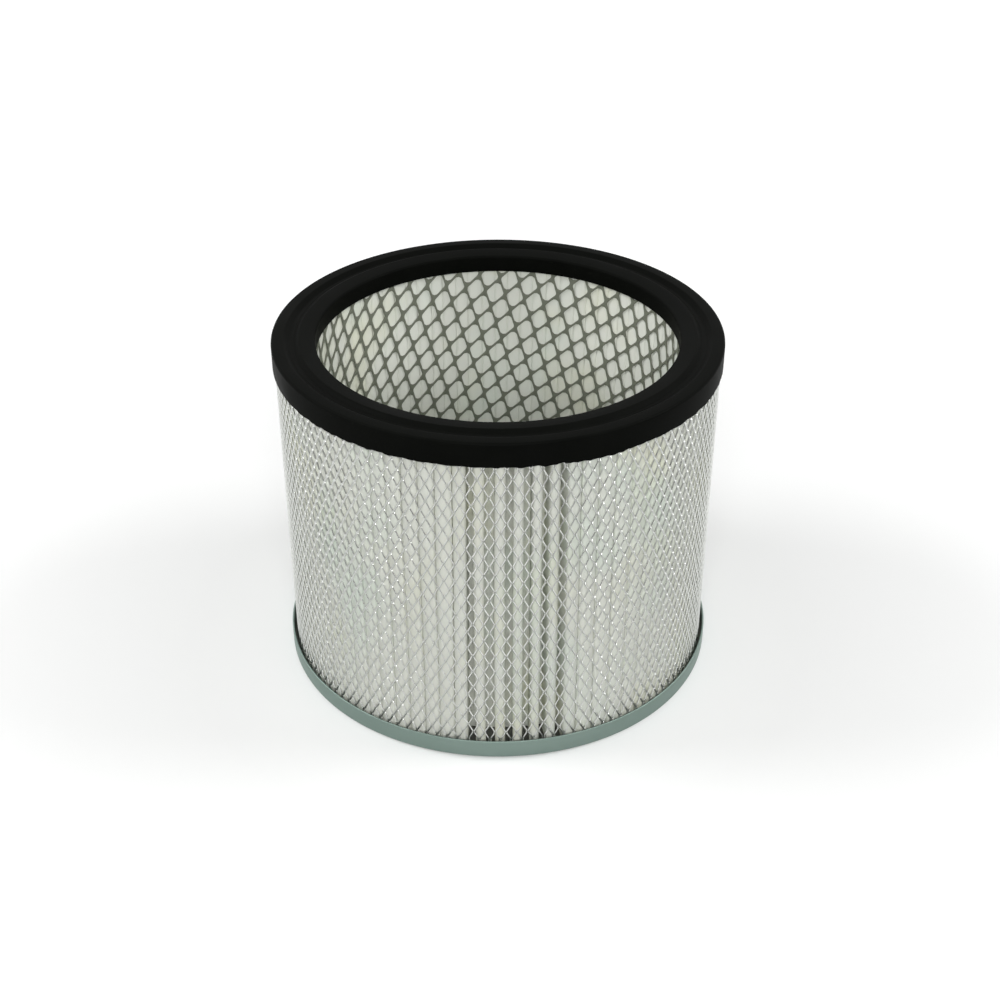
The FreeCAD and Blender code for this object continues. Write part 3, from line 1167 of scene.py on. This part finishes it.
@dataclass
class Studio:
    """A plain pale floor, a white surround, soft lamps and the camera, in metres.

    The floor's glow grows from near_glow to far_glow between the distances glow_from and glow_to, and the
    camera sees it turn white between white_from and white_to. Metal mirrors the surround at front_level
    on the camera's side; front_from and front_to are shares of the way from the back to the front.
    """

    floor_half: float = 6.0
    floor_front: float = 0.7
    floor_drop: float = 0.0001
    floor_colour: Colour = (0.78, 0.785, 0.78)
    floor_bounce: Colour = (0.3, 0.3, 0.3)
    near_glow: float = 0.15
    far_glow: float = 0.6
    glow_from: float = 0.12
    glow_to: float = 0.6
    white_from: float = 0.6
    white_to: float = 1.0
    ambient: float = 0.3
    front_level: float = 0.06
    front_from: float = 0.8
    front_to: float = 0.92
    background_rays: tuple[str, ...] = ("Is Camera Ray", "Is Glossy Ray", "Is Transmission Ray")
    lens: float = 56.01
    sensor: float = 36.0
    camera_place: Triple = (0.00072, -0.4963, 0.3758)
    camera_aim: Triple = (0.00072, 0.0, 0.057)
    lamps: tuple[Lamp, ...] = (
        Lamp("key_lamp", (0.0, -1.05, 0.71), 0.5, 7.8),
        Lamp("left_lamp", (-0.86, 0.05, 0.82), 0.5, 5.8),
        Lamp("right_lamp", (0.86, 0.05, 0.82), 0.5, 5.4),
    )

    def rays(self, shader: Shader) -> list[Value]:
        """Return what is 1 for a camera ray, for a glossy ray and for a transmitted ray."""
        path = shader.node("ShaderNodeLightPath", {}, {})
        return [Value(shader, path.outputs[name]) for name in self.background_rays]

    def floor_material(self) -> bpy.types.Material:
        """Make the floor's finish: pale, white far away, and clear from below.

        Returns:
            The material.
        """
        material = bpy.data.materials.new("studio_floor")
        shader = Shader(material)
        camera, glossy, through = self.rays(shader)
        seen = camera + glossy + through
        colour = shader.tint(seen, self.floor_bounce, self.floor_colour)
        lit = shader.node("ShaderNodeBsdfDiffuse", {}, {"Color": colour})
        place = shader.node("ShaderNodeTexCoord", {}, {}).outputs["Object"]
        length = shader.node("ShaderNodeVectorMath", {"operation": "LENGTH"}, {0: place})
        distance = Value(shader, length.outputs["Value"])
        farness = shader.spread(distance, self.glow_from, self.glow_to)
        level = self.near_glow + farness * (self.far_glow - self.near_glow)
        whiteness = camera * shader.spread(distance, self.white_from, self.white_to)
        glow_colour = shader.tint(seen * level + whiteness, BLACK, WHITE)
        glow = shader.node("ShaderNodeEmission", {}, {"Color": glow_colour, "Strength": 1.0})
        pale = shader.node("ShaderNodeAddShader", {}, {0: lit.outputs[0], 1: glow.outputs[0]})
        back = shader.node("ShaderNodeNewGeometry", {}, {}).outputs["Backfacing"]
        clear = shader.node("ShaderNodeBsdfTransparent", {}, {})
        both = shader.node("ShaderNodeMixShader", {}, {0: back, 1: pale.outputs[0], 2: clear.outputs[0]})
        shader.node("ShaderNodeOutputMaterial", {}, {"Surface": both.outputs[0]})
        return material

    def build_floor(self) -> None:
        """Lay the floor, which keeps the cartridge's shadow."""
        half, front = self.floor_half, self.floor_front
        mesh = bpy.data.meshes.new("floor")
        corners = [(-half, -front, 0), (half, -front, 0), (half, half, 0), (-half, half, 0)]
        mesh.from_pydata(corners, [], [(0, 1, 2, 3)])
        mesh.materials.append(self.floor_material())
        floor = put("floor", mesh, (0.0, 0.0, -self.floor_drop))

    def build_world(self) -> None:
        """Surround the scene with soft white light, which metal mirrors darker on the camera's side."""
        world = bpy.data.worlds.new("studio_world")
        bpy.context.scene.world = world
        shader = Shader(world)
        camera, glossy, through = self.rays(shader)
        toward = shader.node("ShaderNodeTexCoord", {}, {}).outputs["Generated"]
        depth = Value(shader, shader.node("ShaderNodeSeparateXYZ", {}, {0: toward}).outputs["Y"])
        nearness = 0.5 - depth * 0.5
        front = shader.spread(nearness, self.front_from, self.front_to)
        dimmed = shader.tint(front - camera, WHITE, (self.front_level,) * 3)
        soft_light = {"Color": (*WHITE, 1.0), "Strength": self.ambient}
        soft = shader.node("ShaderNodeBackground", {}, soft_light)
        white = shader.node("ShaderNodeBackground", {}, {"Color": dimmed, "Strength": 1.0})
        sockets = {0: camera + glossy + through, 1: soft.outputs[0], 2: white.outputs[0]}
        mixed = shader.node("ShaderNodeMixShader", {}, sockets)
        shader.node("ShaderNodeOutputWorld", {}, {"Surface": mixed.outputs[0]})

    def build_camera(self) -> None:
        """Set up the camera at the photograph's viewing angle."""
        data = bpy.data.cameras.new("camera")
        data.lens, data.sensor_width = self.lens, self.sensor
        camera = put("camera", data, self.camera_place)
        point(camera, self.camera_aim)
        bpy.context.scene.camera = camera

    def build(self) -> None:
        """Build the whole studio."""
        self.build_floor()
        self.build_world()
        for lamp in self.lamps:
            lamp.build()
        self.build_camera()
        bpy.context.scene.view_settings.view_transform = "Standard"
        LOG.info("studio: %d lamps", len(self.lamps))


def cartridge() -> list[Piece]:
    """List the cartridge's pieces with their finishes.

    Returns:
        The pieces, in the order in which they are built.
    """
    rubber = CastRubber("cast_rubber", (0.0026, 0.0029, 0.0024), (0.005, 0.0055, 0.0047), roughness=0.4)
    sheet = SheetMetal("pan_sheet", (0.2, 0.27, 0.24), (0.25, 0.32, 0.29), roughness=0.42)
    adhesive = PouredAdhesive("bed_adhesive", (0.075, 0.078, 0.068), (0.11, 0.114, 0.1), roughness=0.55)
    paper = FilterPaper("filter_paper", (0.81, 0.825, 0.76), (0.81, 0.82, 0.67), roughness=0.85)
    bright = ExpandedMetal(
        "outer_metal", (0.68, 0.69, 0.67), (0.6, 0.615, 0.59), roughness=0.34, cut_colour=(0.69, 0.7, 0.68)
    )
    dull = ExpandedMetal(
        "inner_metal",
        (0.26, 0.275, 0.22),
        (0.2, 0.215, 0.17),
        roughness=0.5,
        cut_colour=(0.2, 0.21, 0.17),
        metallic=0.5,
    )
    return [
        SealRing("seal_ring", "top_seal_ring", "seal_ring", rubber),
        Pan("pan", "bottom_cap", "pan", sheet),
        PottingBed("potting", "potting_bed", "adhesive", adhesive),
        PleatPack("pleat_pack", "pleated_media", "filter_paper", paper),
        ExpandedSleeve("outer_sleeve", "outer_mesh", "outer_mesh", bright),
        PiercedSleeve("inner_sleeve", "inner_mesh", "inner_mesh", dull),
    ]


def main() -> None:
    """Build the cartridge's pieces and the studio round them."""
    logging.basicConfig(level=logging.INFO, format="%(name)s: %(message)s")
    for piece in cartridge():
        piece.build()
    Studio().build()


if __name__ == "__main__":
    main()
